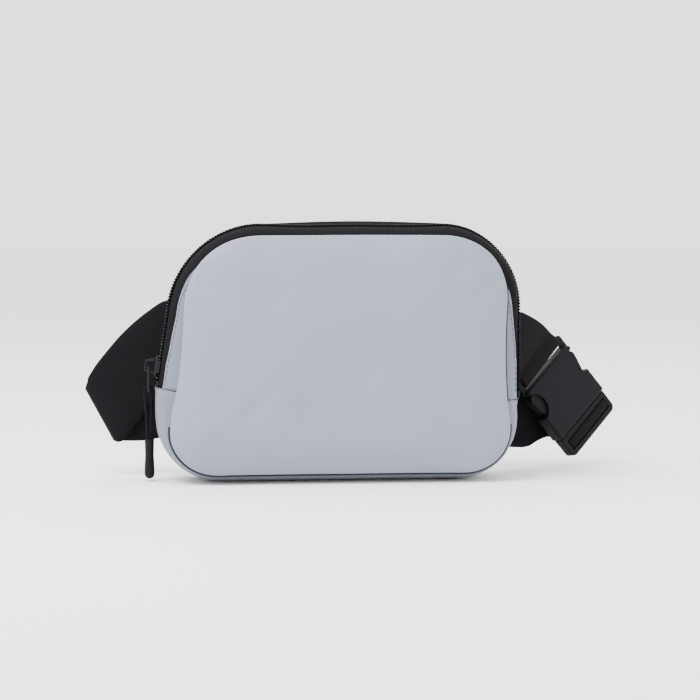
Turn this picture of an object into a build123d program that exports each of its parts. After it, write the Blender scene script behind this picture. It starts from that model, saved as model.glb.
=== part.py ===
from build123d import *

import os
from math import cos, hypot, radians, sin, sqrt

# Belt bag: a zipped pouch worn on a webbing waist strap with a side-release buckle.
# Millimetres. +X is the wearer's left side of the pouch seen from the front, +Y points
# to the wearer, +Z is up. The origin is the centre of the flat base, midway between the
# front and rear seams.

# ---- Driving dimensions: pouch ------------------------------------------------------
seam_front_y = -21.0  # front panel seam
seam_rear_y = 21.0  # back panel seam
flat_front_y = -3.0  # the gusset is level between these two
flat_rear_y = 16.0
front_drop = 6.3  # how far the gusset falls in towards the front seam
rear_drop = 1.0
skin = 1.0  # gusset and panel cloth, with its backing

left_zip_end = (-94.4, 49.0)  # x, z where the zip meets the bottom gusset
right_zip_end = (95.4, 42.0)
top_left = (-81.6, 131.5)
top_middle = (8.0, 134.0)
top_right = (95.4, 132.0)
left_belly = (-95.7, 40.6)
right_belly = (95.4, 34.0)
base_left = (-91.5, 0.0)
base_right = (91.5, 0.0)
top_left_r = 50.0
top_right_r = 43.0
crest_r = 600.0
base_corner_r = 32.0
left_belly_r = 50.0
right_belly_r = 60.0

panel_bulge = 8.5  # front panel stands this far in front of its seam
panel_edge_r = 7.5
padding = 1.6
lining = 0.5
air = 0.05  # between layers

# ---- Driving dimensions: main zip ---------------------------------------------------
zip_y = -1.0  # middle of the coil
facing_front_y = -14.0
facing_low_z = 54.0  # the front facing is full width up to here
facing_high_z = 108.0  # and has tapered away to nothing by here
facing_rear_y = 12.0
tape_under = 0.8  # tape's outer face under the gusset's skin line
tape_t = 0.6
coil_w = 2.8
coil_gap = 0.8
coil_top = -1.0  # stands this far proud of the skin line

# ---- Driving dimensions: strap and buckle -------------------------------------------
web_w = 35.0
web_t = 1.5
strap_left_z = 74.0
strap_right_z = 68.5
bundle_z = 36.0
bundle_y = 28.2
fold_pitch = 2.6
fold_right_x = 70.0
fold_left_x = -70.0

buckle_w = 43.0
buckle_t = 9.0
buckle_len = 54.0
buckle_centre = Vector(129.4, 45.0, 38.4)
buckle_yaw = 28.0
buckle_roll = 51.0
buckle_tilt = 9.8  # its face looks up by this much
slot_w = web_w + 1.0
bar_t = 3.2
mouth_x = 41.0  # the socket's mouth, from the webbing end
body_x = 7.0  # the housing starts here, after the webbing slot
catch_x = 25.5
prong_pivot = (39.4, 11.5)
prong_r = 1.5
slot_in_x = 45.4  # the plug's two webbing slots
slot_out_x = 49.8
fit_gap = 0.3


def save(piece, name):
    """Labels a finished piece and writes it as its own node."""
    piece.part.label = name
    export_step(piece.part, f"parts/{name}.step")


os.makedirs("parts", exist_ok=True)

# ---- The pouch's outline and the gusset's cross-section -----------------------------
lean = Vector(top_left[0] - left_zip_end[0], 0, top_left[1] - left_zip_end[1]).normalized()
inward = Vector(lean.Z, 0, -lean.X)
upper_points = [left_zip_end, top_left, top_middle, top_right, right_zip_end]
upper_radii = [top_left_r, crest_r, top_right_r]
lower_points = [left_zip_end, left_belly, base_left, base_right, right_belly, right_zip_end]
lower_radii = [left_belly_r, base_corner_r, base_corner_r, right_belly_r]

zip_start = (left_zip_end[0] + lean.X * fit_gap, left_zip_end[1] + lean.Z * fit_gap)
zip_finish = (right_zip_end[0], right_zip_end[1] + fit_gap)
with BuildLine(Plane.XZ) as upper_line:
    FilletPolyline(zip_start, *upper_points[1:-1], zip_finish, radius=upper_radii)
with BuildLine(Plane.XZ) as lower_line:
    FilletPolyline(*lower_points, radius=lower_radii)
upper_path = upper_line.wires()[0]
lower_path = lower_line.wires()[0]

front_r = ((flat_front_y - seam_front_y) ** 2 + front_drop**2) / (2 * front_drop)
rear_r = ((seam_rear_y - flat_rear_y) ** 2 + rear_drop**2) / (2 * rear_drop)


def crown(y, depth):
    """Inset from the outline, at y, of the surface that lies depth under the skin line."""
    if y < flat_front_y:
        return front_r - sqrt((front_r - depth) ** 2 - (flat_front_y - y) ** 2)
    if y > flat_rear_y:
        return rear_r - sqrt((rear_r - depth) ** 2 - (y - flat_rear_y) ** 2)
    return depth


def gusset_band(path, y0, y1, top, bottom):
    """Sweeps the part of the gusset between y0 and y1, from depth top to depth bottom."""
    breaks = [y for y in (flat_front_y, flat_rear_y) if y0 < y < y1]
    stations = [y0, *breaks, y1]
    with BuildPart() as piece:
        with BuildSketch(Plane(origin=path @ 0, x_dir=inward, z_dir=lean)):
            with BuildLine():
                for depth in (top, bottom):
                    for a, b in zip(stations, stations[1:]):
                        middle = (a + b) / 2
                        if flat_front_y <= middle <= flat_rear_y:
                            Line((depth, a), (depth, b))
                        else:
                            ThreePointArc(
                                (crown(a, depth), a),
                                (crown(middle, depth), middle),
                                (crown(b, depth), b),
                            )
                for y in (y0, y1):
                    Line((crown(y, top), y), (crown(y, bottom), y))
            make_face()
        sweep(path=path)
    return piece


def slab(inset, y0, y1):
    """A flat layer of the pouch's outline, moved in by inset, between two depths."""
    with BuildPart() as piece:
        with BuildSketch(Plane.XZ.offset(-y0)):
            with BuildLine():
                FilletPolyline(*upper_points, radius=upper_radii)
                FilletPolyline(*lower_points, radius=lower_radii)
            make_face()
            offset(amount=-inset, kind=Kind.ARC)
        extrude(amount=y0 - y1)
    return piece


def dome(inset, rim_y, face_y, edge_r):
    """A solid pillow front: the outline pulled forward, with a rounded front edge."""
    piece = slab(inset, rim_y, face_y)
    with BuildPart() as rounded:
        add(piece.part)
        fillet(rounded.faces().sort_by(Axis.Y)[0].edges(), edge_r)
    return rounded.part


def tray(inset, rim_y, face_y, edge_r, wall):
    """A thin pillow front, open to the back."""
    with BuildPart() as piece:
        add(dome(inset, rim_y, face_y, edge_r))
        add(dome(inset + wall, rim_y, face_y + wall, edge_r - wall), mode=Mode.SUBTRACT)
    return piece


def seam_ring(inset, width, y0, y1):
    """A bound seam allowance: a flat ring that follows the outline."""
    with BuildPart() as piece:
        add(slab(inset, y0, y1).part)
        add(slab(inset + width, y0, y1).part, mode=Mode.SUBTRACT)
    return piece


# ---- Front shell --------------------------------------------------------------------
face_y = seam_front_y - panel_bulge
save(tray(front_drop, seam_front_y, face_y, panel_edge_r, skin), "front_panel")

layer = skin + air
save(
    tray(front_drop + layer, seam_front_y, face_y + layer, panel_edge_r - layer, padding),
    "front_padding",
)
layer += padding + air
save(
    tray(front_drop + layer, seam_front_y, face_y + layer, panel_edge_r - layer, lining),
    "front_lining",
)
# Facing strips lie between seam and zip at both sides, and taper away towards the top.
with BuildPart() as front_facing:
    add(gusset_band(upper_path, seam_front_y, facing_front_y, 0, tape_under).part)
    with BuildSketch(Plane.YZ):
        with BuildLine():
            Polyline(
                (facing_front_y + 1, facing_low_z),
                (seam_front_y - 1, facing_high_z),
                (seam_front_y - 1, top_middle[1] + 5),
                (facing_front_y + 1, top_middle[1] + 5),
                close=True,
            )
        make_face()
    extrude(amount=120, both=True, mode=Mode.SUBTRACT)
save(front_facing, "front_facing")
tape_bottom = tape_under + tape_t
tape_edge = coil_gap / 2
save(
    gusset_band(upper_path, seam_front_y + 0.4, zip_y - tape_edge, tape_under, tape_bottom),
    "front_zip_tape",
)
save(
    gusset_band(
        upper_path, zip_y - tape_edge - coil_w, zip_y - tape_edge, coil_top, tape_under
    ),
    "front_zip_coil",
)
save(seam_ring(front_drop + 2.2, 5.5, seam_front_y + 0.1, seam_front_y + 1.3), "front_seam_binding")

# ---- Rear half of the gusset --------------------------------------------------------
save(gusset_band(upper_path, facing_rear_y, seam_rear_y, 0, tape_under), "rear_facing")
save(
    gusset_band(upper_path, zip_y + tape_edge, facing_rear_y + 5, tape_under, tape_bottom),
    "rear_zip_tape",
)
save(
    gusset_band(
        upper_path, zip_y + tape_edge, zip_y + tape_edge + coil_w, coil_top, tape_under
    ),
    "rear_zip_coil",
)
save(gusset_band(lower_path, seam_front_y, seam_rear_y, 0, skin), "bottom_gusset")
save(
    gusset_band(lower_path, seam_front_y + 1.6, seam_rear_y - 4, skin + air, skin + air + lining),
    "gusset_lining",
)
save(seam_ring(rear_drop + 2.4, 5.5, seam_rear_y - 5.2, seam_rear_y - 4.0), "rear_seam_binding")

# ---- Back panel and its zipped pocket -----------------------------------------------
pocket_z = 103.0
pocket_x = 4.0
pocket_len = 118.0
pocket_slot_h = 9.0
back_t = 1.2
back_y = seam_rear_y + back_t

with BuildPart() as back_panel:
    add(slab(rear_drop, seam_rear_y, back_y).part)
    fillet(back_panel.faces().sort_by(Axis.Y)[-1].edges(), 0.8)
    with BuildSketch(Plane.XZ.offset(-back_y)):
        with Locations((pocket_x, pocket_z)):
            SlotOverall(pocket_len, pocket_slot_h)
    extrude(amount=back_t, mode=Mode.SUBTRACT)
save(back_panel, "back_panel")

with BuildPart() as back_padding:
    add(slab(3.2, seam_rear_y - padding, seam_rear_y - air).part)
    with BuildSketch(Plane.XZ.offset(-seam_rear_y)):
        with Locations((pocket_x, pocket_z)):
            RectangleRounded(pocket_len + 10, 25, 3)
    extrude(amount=padding + 1, mode=Mode.SUBTRACT)
save(back_padding, "back_padding")

save(slab(3.2, seam_rear_y - 3.6, seam_rear_y - 3.2), "back_lining")


def upright_plate(x0, x1, y0, y1, z0, z1, corner=0.0):
    """A flat piece parallel to the back panel, with rounded corners if corner is given."""
    with BuildPart() as piece:
        with BuildSketch(Plane.XZ.offset(-y0)):
            with Locations(((x0 + x1) / 2, (z0 + z1) / 2)):
                if corner:
                    RectangleRounded(x1 - x0, z1 - z0, corner)
                else:
                    Rectangle(x1 - x0, z1 - z0)
        extrude(amount=y0 - y1)
    return piece


pocket_left = pocket_x - pocket_len / 2
pocket_right = pocket_x + pocket_len / 2
save(
    upright_plate(pocket_left - 4, pocket_right + 4, 18.3, 18.7, 24, pocket_z + 12, 6),
    "pocket_lining",
)
pocket_gap = 0.4
for side, name in ((-1, "lower"), (1, "upper")):
    edges = sorted((pocket_z + side * pocket_gap, pocket_z + side * 11))
    save(
        upright_plate(pocket_left - 2, pocket_right + 2, 20.3, 20.9, *edges),
        f"pocket_zip_tape_{name}",
    )
    edges = sorted((pocket_z + side * pocket_gap, pocket_z + side * (pocket_gap + 2.6)))
    save(
        upright_plate(pocket_left + 3, pocket_right - 3, 20.9, 22.3, *edges),
        f"pocket_zip_coil_{name}",
    )

# Open pocket inside the main compartment, with a bound top edge.
slip_y = 16.3
slip_top = 62.0
save(upright_plate(-62, 66, slip_y, slip_y + 0.5, 12, slip_top, 10), "slip_pocket")
save(upright_plate(-62, 66, slip_y - 0.8, slip_y + 0.8, slip_top + 0.1, slip_top + 5), "slip_pocket_hem")


# ---- Zip sliders --------------------------------------------------------------------
def zip_slider(plane, upper, lower, width, length, post_at, bridge_h):
    """A slider on a coil: two plates, side lips, the post between the rows and a bridge.

    plane's X runs along the chain and its Z points out. upper and lower are the
    (inner, outer) heights of the two plates, post_at is the post's place along X, and
    bridge_h is the height of the bridge over the upper plate.
    """
    bridge_w, bridge_len, window = 2.0, 8.4, 1.1
    with BuildPart() as piece:
        for low, high, w in (
            (upper[0], upper[1], width),
            (lower[1], lower[0], width - 0.8),
        ):
            with BuildSketch(plane.offset(low)):
                RectangleRounded(length, w, 2.2)
            extrude(amount=high - low)
        with BuildSketch(plane.offset(lower[0])):
            with Locations((post_at, 0)):
                Rectangle(2.4, coil_gap - 0.2)
        extrude(amount=upper[0] - lower[0])
        with BuildSketch(plane.offset(upper[0] - 1.4)):
            for side in (-1, 1):
                with Locations((0, side * (width / 2 - 0.35))):
                    Rectangle(length - 4.4, 0.7)
        extrude(amount=1.4)
        bridge_plane = Plane(
            origin=plane.origin + plane.z_dir * upper[1],
            x_dir=plane.x_dir,
            z_dir=plane.x_dir.cross(plane.z_dir),
        )
        with BuildSketch(bridge_plane):
            with BuildLine():
                Polyline(
                    (-bridge_len / 2, 0),
                    (-bridge_len / 2 + 0.8, bridge_h),
                    (bridge_len / 2 - 1.6, bridge_h),
                    (bridge_len / 2, 0),
                    close=True,
                )
            make_face()
            with BuildLine():
                Polyline(
                    (-bridge_len / 2 + window, 0),
                    (-bridge_len / 2 + window + 0.5, bridge_h - 0.9),
                    (bridge_len / 2 - 2.5, bridge_h - 0.9),
                    (bridge_len / 2 - window - 0.4, 0),
                    close=True,
                )
            make_face(mode=Mode.SUBTRACT)
        extrude(amount=bridge_w / 2, both=True)
    return piece


def pull_tab(plane, length, width, thickness):
    """A flat tab that hangs from a slider's bridge; plane's X runs from pivot to tip."""
    with BuildPart() as piece:
        with BuildSketch(plane.offset(-thickness / 2)):
            with BuildLine():
                FilletPolyline(
                    (-0.5, -width / 2),
                    (length, -width / 2 + 0.4),
                    (length, width / 2 - 0.4),
                    (-0.5, width / 2),
                    radius=0.5,
                    close=True,
                )
            make_face()
            with Locations((2.0, 0)):
                Rectangle(3.0, width - 1.6, mode=Mode.SUBTRACT)
            with Locations((length - 2.7, 0)):
                Rectangle(2.8, width - 1.6, mode=Mode.SUBTRACT)
        extrude(amount=thickness)
    return piece


slider_up = 10.5  # slider's middle, from the zip's left end along the side
slider_len = 11.0
outward = inward * -1
slider_origin = (
    Vector(left_zip_end[0], zip_y, left_zip_end[1]) + lean * slider_up
)
slider_plane = Plane(origin=slider_origin, x_dir=lean, z_dir=outward)
save(
    zip_slider(slider_plane, (1.3, 2.5), (-1.7, -2.9), 8.4, slider_len, -3.6, 5.2),
    "main_slider",
)

# The pull hangs straight down from the lower end of the bridge's window.
tab_len = 12.6
tab_t = 1.1
tab_pivot = slider_origin + lean * -1.4 + outward * 5.7
tab_plane = Plane(origin=tab_pivot, x_dir=(0, 0, -1), z_dir=(-1, 0, 0))
save(pull_tab(tab_plane, tab_len, 4.4, tab_t), "main_pull_tab")

# Cord of the pull: one length, doubled through the tab's lower window.
cord_d = 1.5
cord_half = 1.68  # half the space between the two strands at the eye
eye = Vector(tab_pivot.X, zip_y, tab_pivot.Z - tab_len + 1.5)
tip_top_z = 21.7
tip_x = eye.X + 0.5
pull_route = [
    (tip_x - 0.95, zip_y, tip_top_z),
    (tip_x - 1.20, zip_y, tip_top_z + 9.5),
    (eye.X - 1.35, zip_y, tip_top_z + 18.0),
    (eye.X - cord_half, zip_y, eye.Z - 2.6),
    (eye.X - cord_half, zip_y, eye.Z + 1.05),
    (eye.X + cord_half, zip_y, eye.Z + 1.05),
    (eye.X + cord_half, zip_y, eye.Z - 2.6),
    (eye.X + 1.62, zip_y, tip_top_z + 18.0),
    (tip_x + 1.00, zip_y, tip_top_z + 9.5),
    (tip_x + 0.95, zip_y, tip_top_z),
]


def route_radii(route, share=0.45):
    """The largest fillet that each inner point's two runs allow."""
    radii = []
    points = [Vector(*p) for p in route]
    for a, b, c in zip(points, points[1:], points[2:]):
        turn = radians((b - a).get_angle(c - b))
        radii.append(share * min((b - a).length, (c - b).length) / (sin(turn / 2) / cos(turn / 2)))
    return radii


pull_radii = route_radii(pull_route)
print("pull cord radii", [round(r, 2) for r in pull_radii])
with BuildPart() as pull_cord:
    with BuildLine() as cord_line:
        FilletPolyline(*pull_route, radius=pull_radii)
    with BuildSketch(Plane(origin=pull_route[0], z_dir=(0, 0, 1))):
        Circle(cord_d / 2)
    sweep(path=cord_line.wires()[0])
cord_length = cord_line.wires()[0].length
print("pull cord length", round(cord_length, 1), "volume share",
      round(pull_cord.part.volume / (cord_length * 3.14159 * cord_d**2 / 4), 3))
save(pull_cord, "pull_cord")

# Moulded end of the pull: flat-topped, waisted, with a rounded bulb.
tip_bottom_z = 1.0
with BuildPart() as pull_tip:
    with BuildSketch(Plane(origin=(tip_x, zip_y, 0), x_dir=(1, 0, 0), z_dir=(0, -1, 0))):
        with BuildLine():
            Line((0, tip_bottom_z), (0, tip_top_z))
            Line((0, tip_top_z), (2.45, tip_top_z))
            Spline(
                (2.45, tip_top_z),
                (2.3, 13.0),
                (2.65, 5.0),
                (1.9, tip_bottom_z + 0.7),
                (0, tip_bottom_z),
                tangents=((0, -1), (-1, 0)),
            )
        make_face()
    revolve(axis=Axis((tip_x, zip_y, 0), (0, 0, 1)))
save(pull_tip, "pull_tip")

pocket_slider_x = pocket_left + 14
pocket_slider_plane = Plane(
    origin=(pocket_slider_x, seam_rear_y, pocket_z), x_dir=(1, 0, 0), z_dir=(0, 1, 0)
)
save(
    zip_slider(pocket_slider_plane, (1.7, 2.7), (-0.9, -1.9), 7.6, 10.0, -3.2, 3.2),
    "pocket_slider",
)
pocket_tab_plane = Plane(
    origin=(pocket_slider_x + 1.2, seam_rear_y + 2.7 + 1.25, pocket_z), x_dir=(1, 0, 0), z_dir=(0, 1, 0)
)
save(pull_tab(pocket_tab_plane, 19.0, 4.4, tab_t), "pocket_pull_tab")

# Small clamped stops at both ends of the main zip.
with BuildPart() as zip_stops:
    for path_end, up in ((left_zip_end, lean), (right_zip_end, Vector(0, 0, 1))):
        side = -1 if path_end[0] < 0 else 1
        out = Vector(side * up.Z, 0, -side * up.X)
        for row in (-1, 1):
            middle = Vector(path_end[0], zip_y + row * (tape_edge + 4.4), path_end[1])
            stop_plane = Plane(origin=middle + up * 2.0, x_dir=up, z_dir=out)
            with BuildSketch(stop_plane.offset(-tape_under)):
                RectangleRounded(2.6, 2.4, 0.6)
            extrude(amount=1.3)
save(zip_stops, "zip_stops")

# ---- Buckle -------------------------------------------------------------------------
yaw, roll, tilt = radians(buckle_yaw), radians(buckle_roll), radians(buckle_tilt)
level = Vector(cos(yaw), sin(yaw), 0)
upright = Vector(0, 0, cos(tilt)) - Vector(sin(yaw), -cos(yaw), 0) * sin(tilt)
along = level * cos(roll) - upright * sin(roll)  # from the fixed strap to the free end
across = level * sin(roll) + upright * cos(roll)
facing = along.cross(across)
buckle_origin = buckle_centre - along * (buckle_len / 2)
buckle_plane = Plane(origin=buckle_origin, x_dir=along, z_dir=facing)
profile_plane = Plane(origin=buckle_origin, x_dir=along, z_dir=across * -1)
half_w = buckle_w / 2
half_t = buckle_t / 2
cavity_half = 3.1
wall_at_catch = 18.8  # socket's half width where the catches sit, and at its mouth
wall_at_mouth = 17.2

with BuildPart() as buckle_female:
    with BuildSketch(buckle_plane.offset(-half_t)):
        with BuildLine():
            FilletPolyline(
                (body_x, -half_w + 0.6),
                (mouth_x, -half_w),
                (mouth_x, half_w),
                (body_x, half_w - 0.6),
                radius=[3.0, 1.2, 1.2, 3.0],
                close=True,
            )
        make_face()
    extrude(amount=buckle_t)
    fillet(buckle_female.edges().group_by(Axis(buckle_origin, facing))[0], 1.8)
    fillet(buckle_female.edges().group_by(Axis(buckle_origin, facing))[-1], 1.8)
    # Webbing bar and its two arms.
    with BuildSketch(buckle_plane.offset(-bar_t / 2)):
        with BuildLine():
            FilletPolyline(
                (0, -half_w + 0.6),
                (body_x + 2, -half_w + 0.6),
                (body_x + 2, half_w - 0.6),
                (0, half_w - 0.6),
                radius=[2.0, 0, 0, 2.0],
                close=True,
            )
        make_face()
        with Locations(((bar_t - 0.2 + body_x) / 2, 0)):
            Rectangle(body_x - bar_t + 0.2, slot_w, mode=Mode.SUBTRACT)
    extrude(amount=bar_t)
    # Socket: it narrows to the mouth, so that the prongs are squeezed on the way out.
    with BuildSketch(buckle_plane.offset(-cavity_half)):
        with BuildLine():
            Polyline(
                (body_x + 2.5, -wall_at_catch),
                (catch_x + 0.5, -wall_at_catch),
                (mouth_x + 1, -wall_at_mouth),
                (mouth_x + 1, wall_at_mouth),
                (catch_x + 0.5, wall_at_catch),
                (body_x + 2.5, wall_at_catch),
                close=True,
            )
        make_face()
    extrude(amount=2 * cavity_half, mode=Mode.SUBTRACT)
    # Finger scallops on both sides.
    with BuildSketch(buckle_plane.offset(-half_t - 1)):
        with Locations(((body_x + catch_x + 2.6) / 2, half_w), ((body_x + catch_x + 2.6) / 2, -half_w)):
            Ellipse(8.2, 7.3)
    extrude(amount=buckle_t + 2, mode=Mode.SUBTRACT)
save(buckle_female, "buckle_socket")

base_x = mouth_x + fit_gap
with BuildPart() as buckle_male:
    with BuildSketch(buckle_plane.offset(-2.9)):
        with BuildLine():
            FilletPolyline(
                (base_x, -half_w + 0.5),
                (buckle_len, -half_w + 0.5),
                (buckle_len, half_w - 0.5),
                (base_x, half_w - 0.5),
                radius=[1.0, 3.5, 3.5, 1.0],
                close=True,
            )
        make_face()
    extrude(amount=5.8)
    fillet(buckle_male.edges().group_by(Axis(buckle_origin, facing))[0], 0.9)
    fillet(buckle_male.edges().group_by(Axis(buckle_origin, facing))[-1], 0.9)
    # Two webbing slots with a bar between them.
    with BuildSketch(buckle_plane.offset(-4)):
        with Locations((slot_in_x, 0), (slot_out_x, 0)):
            Rectangle(2.2, slot_w)
    extrude(amount=8.0, mode=Mode.SUBTRACT)
    # The middle bar is thinner, so that the webbing lies over it.
    for h in (1.5, -4.5):
        with BuildSketch(buckle_plane.offset(h)):
            with Locations(((slot_in_x + slot_out_x) / 2, 0)):
                Rectangle(6.4, slot_w)
        extrude(amount=3.0, mode=Mode.SUBTRACT)
    # Guide tongue in the middle of the socket.
    with BuildSketch(buckle_plane.offset(-2.2)):
        with BuildLine():
            FilletPolyline(
                (14, -3.0),
                (base_x + 1, -4.0),
                (base_x + 1, 4.0),
                (14, 3.0),
                radius=[2.4, 0, 0, 2.4],
                close=True,
            )
        make_face()
    extrude(amount=4.4)
save(buckle_male, "buckle_plug")

for side, name in ((1, "upper"), (-1, "lower")):
    with BuildPart() as prong:
        with BuildSketch(buckle_plane.offset(-2.7)):
            with BuildLine():
                Polyline(
                    (39.4, side * 10.2),
                    (39.4, side * 12.8),
                    (catch_x, side * 15.2),
                    (catch_x, side * 18.0),
                    (22.5, side * 18.9),
                    (19.5, side * 19.6),
                    (16.5, side * 20.3),
                    (13.5, side * 20.7),
                    (11.3, side * 19.6),
                    (10.4, side * 17.0),
                    (10.2, side * 14.0),
                    (14.5, side * 12.0),
                    (24.0, side * 11.9),
                    close=True,
                )
            make_face()
            with Locations((prong_pivot[0], side * prong_pivot[1])):
                Circle(prong_r)
        extrude(amount=5.4)
    save(prong, f"buckle_prong_{name}")

# ---- Webbing ------------------------------------------------------------------------
strap_face_y = back_y + air
half_web = web_w / 2


def web_section(centre, width_dir, run_dir, thickness=web_t):
    """A webbing cross-section for a loft, square to run_dir."""
    run = Vector(*run_dir).normalized()
    width = Vector(*width_dir)
    width = (width - run * width.dot(run)).normalized()
    with BuildSketch(Plane(origin=centre, x_dir=width, z_dir=run)) as section:
        Rectangle(web_w, thickness)
    return section.sketch


def in_buckle(x, y, z):
    """A point given along, across and out of the buckle."""
    return buckle_origin + along * x + across * y + facing * z


# Fixed strap: sewn to the back panel's right edge and looped round the socket's bar.
with BuildPart() as strap_fixed:
    with BuildSketch(Plane.XZ.offset(-strap_face_y)):
        with Locations((85.5, strap_right_z)):
            Rectangle(11.0, web_w)
    extrude(amount=-web_t)
    loft(
        [
            web_section((91.0, strap_face_y + web_t / 2, strap_right_z), (0, 0, 1), (1, 0, 0)),
            web_section(in_buckle(-1.3, 0, 0), across, along, 2.4),
        ],
        ruled=True,
    )
    with BuildSketch(profile_plane):
        with Locations((1.5, 0)):
            RectangleRounded(6.6, 6.8, 2.6)
            RectangleRounded(3.6, 3.8, 0.9, mode=Mode.SUBTRACT)
    extrude(amount=half_web, both=True)
save(strap_fixed, "strap_fixed")

# Free strap, first stretch: sewn to the left edge, folded over at the far left.
fold_top = (-128.6, 49.2)
fold_bottom = (-112.3, 17.6)
outgoing_y = strap_face_y
return_y = bundle_y - web_t / 2
end_x = 73.0
with BuildPart() as strap_free:
    with BuildSketch(Plane.XZ.offset(-outgoing_y)):
        with BuildLine():
            Polyline(
                (-79.0, strap_left_z + half_web),
                (-91.0, strap_left_z + half_web),
                fold_top,
                fold_bottom,
                (-93.0, strap_left_z - half_web - 8),
                (-79.0, strap_left_z - half_web),
                close=True,
            )
        make_face()
    extrude(amount=-web_t)
    fold_dir = Vector(fold_bottom[0] - fold_top[0], 0, fold_bottom[1] - fold_top[1])
    fold_len = fold_dir.length
    fold_r = (return_y + web_t - outgoing_y) / 2
    fold_plane = Plane(
        origin=(fold_top[0], outgoing_y + fold_r, fold_top[1]),
        x_dir=(0, 1, 0),
        z_dir=fold_dir,
    )
    with BuildSketch(fold_plane):
        Circle(fold_r)
        Circle(fold_r - web_t, mode=Mode.SUBTRACT)
        with Locations((0, 5)):
            Rectangle(20, 10, mode=Mode.SUBTRACT)
    extrude(amount=fold_len)
    with BuildSketch(Plane.XZ.offset(-return_y)):
        with BuildLine():
            Polyline(
                fold_top,
                fold_bottom,
                (-80.0, bundle_z - half_web),
                (-60.0, bundle_z - half_web),
                (-60.0, bundle_z + half_web),
                (-80.0, bundle_z + half_web),
                close=True,
            )
        make_face()
    extrude(amount=-web_t)
    # The spare length lies folded in three layers behind the pouch.
    with BuildSketch(Plane.XY.offset(bundle_z - half_web)):
        with BuildLine() as zigzag:
            FilletPolyline(
                (-62.0, bundle_y),
                (fold_right_x, bundle_y),
                (fold_right_x, bundle_y + fold_pitch),
                (fold_left_x, bundle_y + fold_pitch),
                (fold_left_x, bundle_y + 2 * fold_pitch),
                (end_x, bundle_y + 2 * fold_pitch),
                radius=fold_pitch / 2 - 0.02,
            )
        trace(line_width=web_t)
    extrude(amount=web_w)
    last_y = bundle_y + 2 * fold_pitch
    loft(
        [
            web_section((end_x, last_y, bundle_z), (0, 0, 1), (1, 0, 0)),
            web_section((91.0, 38.0, 33.0), (0.10, 0.10, 0.97), (0.95, 0.22, -0.10)),
            web_section((106.0, 44.2, 31.5), (0.30, 0.10, 0.93), (0.88, 0.42, -0.18)),
            web_section(in_buckle(33.0, -6.0, -9.4), (0.48, 0.33, 0.78), (0.66, 0.45, -0.55)),
            web_section(in_buckle(42.0, 0, -7.85), across, along),
        ],
        ruled=True,
    )
save(strap_free, "strap_free")

# The free strap's last stretch goes up the outer slot, over the plug's middle bar and
# down the inner slot, and its tail lies under the buckle.
with BuildPart() as strap_end:
    with BuildSketch(profile_plane):
        with BuildLine():
            FilletPolyline(
                (42.0 + fit_gap, -7.85),
                (slot_out_x, -7.85),
                (slot_out_x, 2.6),
                (slot_in_x, 2.6),
                (slot_in_x, -5.75),
                (12.0, -5.75),
                radius=1.0,
            )
        trace(line_width=web_t)
    extrude(amount=half_web, both=True)
save(strap_end, "strap_end")

# Elastic keeper round the folded strap.
keeper_x, keeper_w, keeper_t = 2.0, 18.0, 0.9
keeper_y0 = bundle_y - web_t / 2 - 0.35
keeper_y1 = bundle_y + 2 * fold_pitch + web_t / 2 + 0.35
with BuildPart() as strap_keeper:
    with BuildSketch(Plane.YZ.offset(keeper_x - keeper_w / 2)):
        with Locations(((keeper_y0 + keeper_y1) / 2, bundle_z)):
            RectangleRounded(
                keeper_y1 - keeper_y0 + 2 * keeper_t, web_w + 0.8 + 2 * keeper_t, 1.6
            )
            RectangleRounded(keeper_y1 - keeper_y0, web_w + 0.8, 0.7, mode=Mode.SUBTRACT)
    extrude(amount=keeper_w)
save(strap_keeper, "strap_keeper")
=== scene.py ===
from math import atan2, ceil, cos, degrees, pi, radians, sin, sqrt, tan

import bmesh
import bpy
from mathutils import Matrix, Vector, noise


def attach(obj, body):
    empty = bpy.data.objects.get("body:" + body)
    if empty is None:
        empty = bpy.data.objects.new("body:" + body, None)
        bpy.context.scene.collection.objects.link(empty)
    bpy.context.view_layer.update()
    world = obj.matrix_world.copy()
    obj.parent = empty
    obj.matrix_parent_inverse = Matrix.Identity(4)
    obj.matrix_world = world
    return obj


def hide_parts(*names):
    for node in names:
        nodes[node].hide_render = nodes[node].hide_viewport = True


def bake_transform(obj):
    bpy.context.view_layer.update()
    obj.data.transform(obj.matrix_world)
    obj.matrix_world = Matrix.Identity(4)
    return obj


# A small grey belt bag: zipped pouch, black webbing waist strap, side-release buckle.
# Shapes below are worked out in millimetres and made in metres, in the CAD's frame.

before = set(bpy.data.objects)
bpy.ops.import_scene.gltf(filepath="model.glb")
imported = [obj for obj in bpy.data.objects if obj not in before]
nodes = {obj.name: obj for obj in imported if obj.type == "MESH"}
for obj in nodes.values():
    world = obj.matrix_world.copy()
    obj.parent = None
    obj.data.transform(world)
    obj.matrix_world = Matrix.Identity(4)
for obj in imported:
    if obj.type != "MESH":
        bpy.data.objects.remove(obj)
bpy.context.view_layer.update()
MM = 0.001


def add_object(name, data):
    thing = bpy.data.objects.new(name, data)
    bpy.context.scene.collection.objects.link(thing)
    return thing


# ---- Camera, floor and light ----
def add_camera():
    azimuth, elevation, distance, lens, width = radians(-6), radians(3.5), 1.30, 130.0, 0.3675
    forward = Vector(
        (-sin(azimuth) * cos(elevation), cos(azimuth) * cos(elevation), -sin(elevation))
    )
    right = Vector((cos(azimuth), sin(azimuth), 0))
    up = right.cross(forward)
    data = bpy.data.cameras.new("camera")
    data.lens = lens
    data.sensor_width = width * lens / distance
    camera = add_object("camera", data)
    target = right * 0.0068 + up * 0.0672
    camera.location = target - forward * distance
    camera.rotation_euler = forward.to_track_quat("-Z", "Y").to_euler()
    bpy.context.scene.camera = camera


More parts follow.
